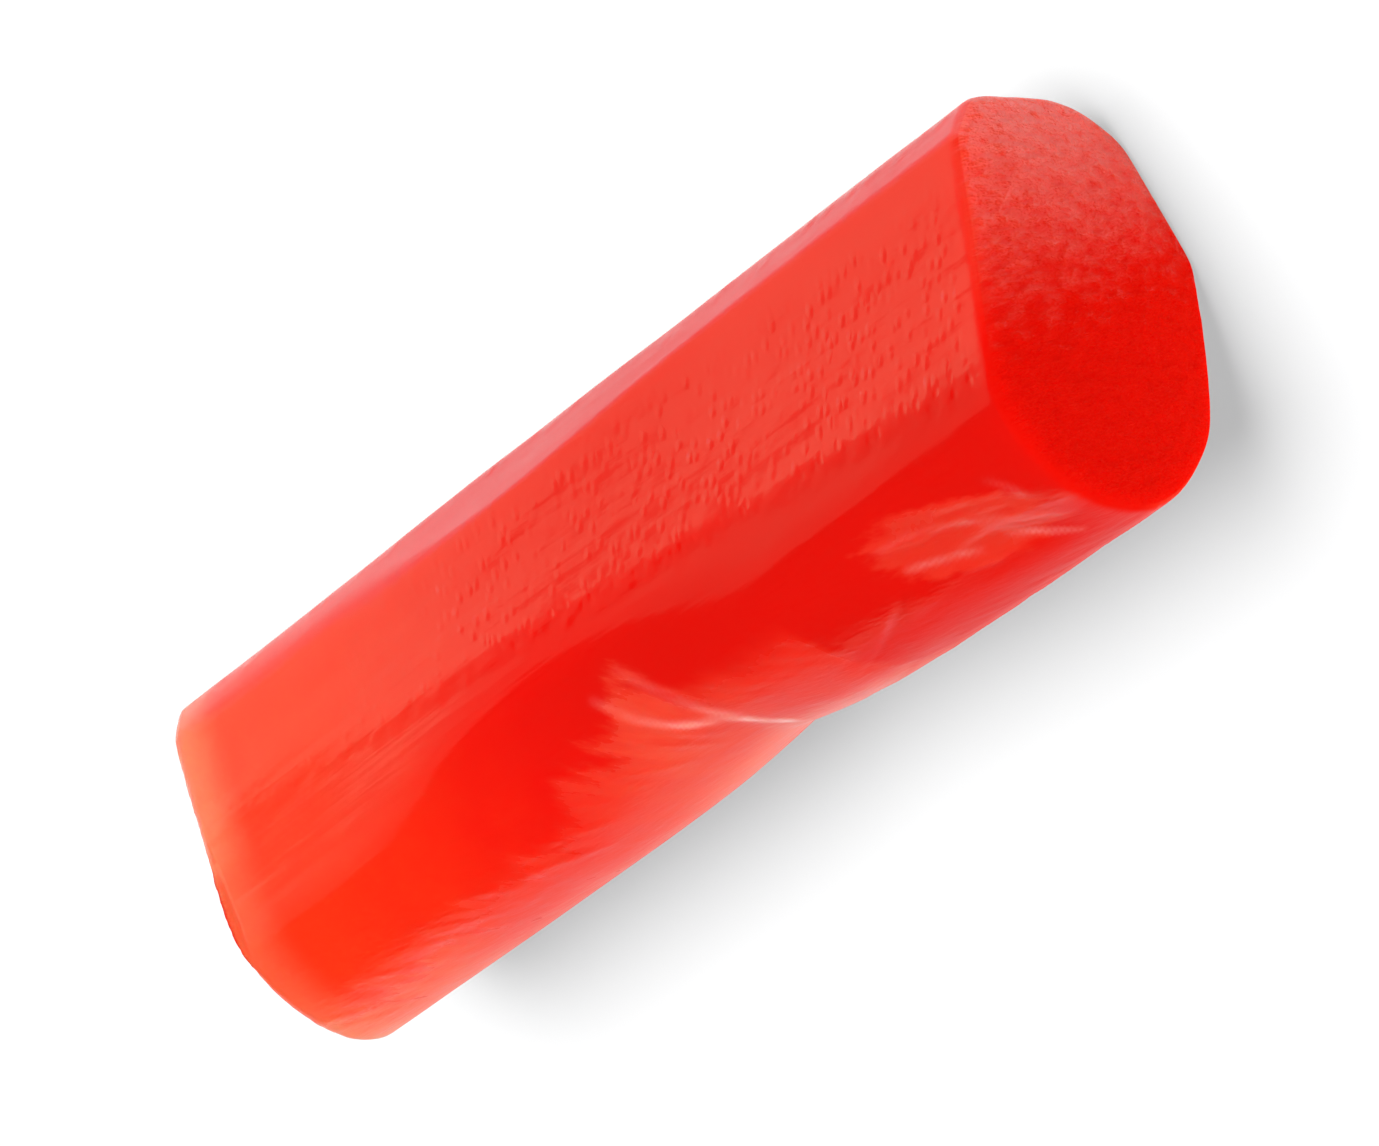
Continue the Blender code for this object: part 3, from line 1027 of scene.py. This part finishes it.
def make_floor():
    """Lay a square floor under the bite."""
    reach = FLOOR_HALF_SIZE
    corners = [(-reach, -reach, 0), (reach, -reach, 0), (reach, reach, 0), (-reach, reach, 0)]
    mesh = bpy.data.meshes.new("floor")
    mesh.from_pydata(corners, [], [(0, 1, 2, 3)])
    material = bpy.data.materials.new("floor")
    material.use_nodes = True
    shader = material.node_tree.nodes["Principled BSDF"]
    shader.inputs["Base Color"].default_value = FLOOR_WHITE
    shader.inputs["Roughness"].default_value = 0.8
    shader.inputs["Specular IOR Level"].default_value = 0.2
    mesh.materials.append(material)
    floor = bpy.data.objects.new("floor", mesh)
    bpy.context.scene.collection.objects.link(floor)
    floor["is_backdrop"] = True


make_floor()
print("floor", 2 * FLOOR_HALF_SIZE, "m wide")

# %% [markdown]
# ## Light that draws the skin
# Glossy skin is a mirror with a red wall behind it, so each pressed side shows whatever lies in the one
# direction that it mirrors. That gives the plan: a tall stack of softboxes behind the +Y side for the broad
# side and the strip next to it, each shelf a little dimmer than the one below, nothing above them, so that
# the crown stays dark, and a low card behind the -Y side for the scuffs. The softboxes only light mirrors.
# The even light comes from two very wide lamps and the room, which in turn show in no mirror. A low camera
# looks past the floor's far edge, and there the room is as white as the floor.

# %% Softboxes for the reflections
WARM = (1.0, 0.93, 0.60)        # on red skin its mirror image stays orange; a white one would turn pink
BOX_DISTANCE = 0.6

# Name, azimuth from +X toward +Y, elevation, width, height, radiance.
SOFTBOXES = (
    ("low_softbox", 121.0, 8.5, 0.62, 0.25, 1.35),
    ("middle_softbox", 123.0, 26.0, 0.62, 0.115, 0.60),
    ("high_softbox", 126.0, 38.0, 0.62, 0.135, 0.42),
    ("far_card", 238.0, 5.0, 0.8, 0.17, 0.60),
)


def unit(azimuth, elevation):
    """Return a direction: azimuth in degrees from +X toward +Y, elevation above the floor."""
    a, e = math.radians(azimuth), math.radians(elevation)
    return Vector((math.cos(a) * math.cos(e), math.sin(a) * math.cos(e), math.sin(e)))


def place_lamp(name, light, toward, distance):
    """Put a lamp at a distance in a direction from the origin, shining back at it."""
    lamp = bpy.data.objects.new(name, light)
    lamp.location = toward * distance
    lamp.rotation_euler = (-toward).to_track_quat("-Z", "Y").to_euler()
    bpy.context.scene.collection.objects.link(lamp)
    return lamp


for name, azimuth, elevation, width, height, radiance in SOFTBOXES:
    light = bpy.data.lights.new(name, "AREA")
    light.shape = "RECTANGLE"
    light.size = width
    light.size_y = height
    light.energy = radiance * math.pi * width * height
    light.color = WARM
    softbox = place_lamp(name, light, unit(azimuth, elevation), BOX_DISTANCE)
    softbox.visible_camera = False
    softbox.visible_diffuse = False
    print(name, "spans", round(math.degrees(height / BOX_DISTANCE)), "degrees up and down")

# %% Wide lamps and the room
# Name, azimuth, elevation, strength, spread in degrees, whether it casts shadows.
WIDE_LAMPS = (
    ("overhead", 106.0, 72.0, 2.5, 46.0, True),
    ("fill", 316.0, 12.0, 1.8, 60.0, False),
)
ROOM_LIGHT = (0.34, 0.34, 0.343, 1.0)
ROOM_IN_MIRRORS = (0.06, 0.055, 0.05, 1.0)
BACKDROP = (1.0, 1.0, 1.0, 1.0)         # what a low camera sees beyond the floor

for name, azimuth, elevation, strength, spread, casts_shadow in WIDE_LAMPS:
    light = bpy.data.lights.new(name, "SUN")
    light.energy = strength
    light.angle = math.radians(spread)
    light.use_shadow = casts_shadow
    place_lamp(name, light, unit(azimuth, elevation), 1.0).visible_glossy = False

studio = bpy.data.worlds.new("studio")
bpy.context.scene.world = studio
studio.use_nodes = True
room = Graph(studio.node_tree)
mirrored = room.node("ShaderNodeLightPath", output="Is Glossy Ray")
shade = blend_colours(room, mirrored, ROOM_LIGHT, ROOM_IN_MIRRORS)
shade = blend_colours(room, mirrored.other("Is Camera Ray"), shade, BACKDROP)
studio.node_tree.links.new(shade.socket, studio.node_tree.nodes["Background"].inputs["Color"])
bpy.context.scene.view_settings.view_transform = "Standard"
print("room", ROOM_LIGHT[0], "and", len(WIDE_LAMPS), "wide lamps")

# %% [markdown]
# ## The camera
# The photograph looks down at the bite from 60 degrees, so that the cut just shows, and the rope runs up to
# the right across the frame. The camera's axes are built from those two facts: tilt it back from straight
# down, then roll it until the rope lies at the right slope.

# %% Camera
TILT = math.radians(30.0)           # away from straight down, toward the cut
TURN = math.radians(36.1)           # the rope's slope in the picture
CAMERA_DISTANCE = 0.45
VIEW_WIDTH = 0.0494                 # seen at the bite
VIEW_CENTRE = Vector((0.0006, 0.0001, 0.0065))
SENSOR_WIDTH = 36.0


def make_camera():
    """Set up the camera at the photograph's viewing angle."""
    back = Vector((math.sin(TILT), 0.0, math.cos(TILT)))
    down_rope = Vector((math.cos(TILT), 0.0, -math.sin(TILT)))
    across = Vector((0.0, 1.0, 0.0))
    right = down_rope * math.cos(TURN) - across * math.sin(TURN)
    up = down_rope * math.sin(TURN) + across * math.cos(TURN)
    camera = bpy.data.cameras.new("camera")
    camera.sensor_width = SENSOR_WIDTH
    camera.lens = SENSOR_WIDTH * CAMERA_DISTANCE / VIEW_WIDTH
    camera.clip_start = 0.01
    camera.clip_end = 10.0
    holder = bpy.data.objects.new("camera", camera)
    turned = Matrix((right, up, back)).transposed().to_4x4()
    holder.matrix_world = Matrix.Translation(VIEW_CENTRE + back * CAMERA_DISTANCE) @ turned
    bpy.context.scene.collection.objects.link(holder)
    bpy.context.scene.camera = holder
    return camera


print("lens", round(make_camera().lens), "mm")

# %% [markdown]
# ## Does it still fit?
# The finished bite has to fill the same box as the solid it stands for. Both boxes are written out as plain
# numbers, so that they can be compared after each render.

# %% Write the two boxes and finish
visual_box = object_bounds()
for title, box in (("solid", cad_box), ("bite", visual_box)):
    print(title, [[round(side / METRES_PER_MM, 2) for side in corner] for corner in box])
